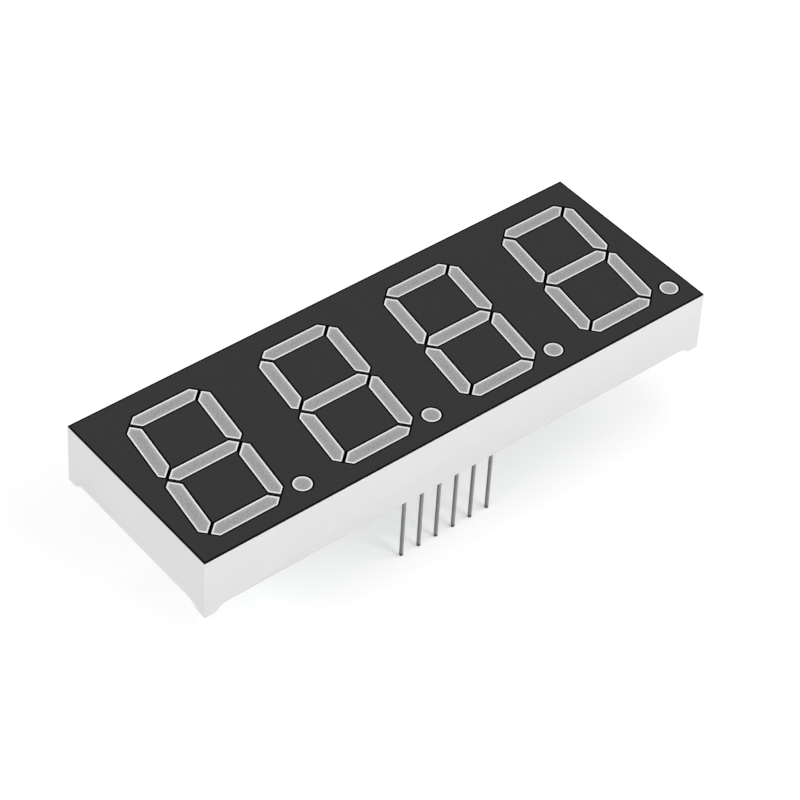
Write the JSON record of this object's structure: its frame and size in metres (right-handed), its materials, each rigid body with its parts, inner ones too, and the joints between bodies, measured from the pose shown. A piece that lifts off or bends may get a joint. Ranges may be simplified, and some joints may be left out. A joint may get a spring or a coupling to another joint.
{
  "type": "four-digit seven-segment display",
  "caption": "Numeric display block: slanted seven-segment digits with decimal points in a dark face on a white moulded reflector case, with two rows of round through-hole pins.",
  "frame": {"origin": "middle of the box around the part, on the plane of the pin tips", "axes": "+X along the row of digits in reading direction, +Y towards the tops of the digits, +Z out of the face"},
  "size_m": [0.0714, 0.0254, 0.0196],
  "materials": {
    "white_plastic": "satin moulded white plastic",
    "dark_mask": "matte dark grey print",
    "milky_epoxy": "milky grey cast epoxy, satin",
    "tinned_pin": "tinned wire",
    "green_board": "green solder resist",
    "solder": "bright solder",
    "led_chip": "bare chip",
    "gold_wire": "bare gold wire"
  },
  "bodies": {
    "root": {"housing": "white_plastic", "face_mask": "dark_mask", "circuit_board": "green_board", "solder_joints": "solder", "digit_1_segment_a": "milky_epoxy", "digit_1_segment_b": "milky_epoxy", "digit_1_segment_c": "milky_epoxy", "digit_1_segment_d": "milky_epoxy", "digit_1_segment_e": "milky_epoxy", "digit_1_segment_f": "milky_epoxy", "digit_1_segment_g": "milky_epoxy", "digit_2_segment_a": "milky_epoxy", "digit_2_segment_b": "milky_epoxy", "digit_2_segment_c": "milky_epoxy", "digit_2_segment_d": "milky_epoxy", "digit_2_segment_e": "milky_epoxy", "digit_2_segment_f": "milky_epoxy", "digit_2_segment_g": "milky_epoxy", "digit_3_segment_a": "milky_epoxy", "digit_3_segment_b": "milky_epoxy", "digit_3_segment_c": "milky_epoxy", "digit_3_segment_d": "milky_epoxy", "digit_3_segment_e": "milky_epoxy", "digit_3_segment_f": "milky_epoxy", "digit_3_segment_g": "milky_epoxy", "digit_4_segment_a": "milky_epoxy", "digit_4_segment_b": "milky_epoxy", "digit_4_segment_c": "milky_epoxy", "digit_4_segment_d": "milky_epoxy", "digit_4_segment_e": "milky_epoxy", "digit_4_segment_f": "milky_epoxy", "digit_4_segment_g": "milky_epoxy", "digit_1_point": "milky_epoxy", "digit_2_point": "milky_epoxy", "digit_3_point": "milky_epoxy", "digit_4_point": "milky_epoxy", "digit_1_led_chips": "led_chip", "digit_2_led_chips": "led_chip", "digit_3_led_chips": "led_chip", "digit_4_led_chips": "led_chip", "digit_1_bond_wires": "gold_wire", "digit_2_bond_wires": "gold_wire", "digit_3_bond_wires": "gold_wire", "digit_4_bond_wires": "gold_wire", "pin_1": "tinned_pin", "pin_2": "tinned_pin", "pin_3": "tinned_pin", "pin_4": "tinned_pin", "pin_5": "tinned_pin", "pin_6": "tinned_pin", "pin_7": "tinned_pin", "pin_8": "tinned_pin", "pin_9": "tinned_pin", "pin_10": "tinned_pin", "pin_11": "tinned_pin", "pin_12": "tinned_pin"}
  },
  "joints": []
}
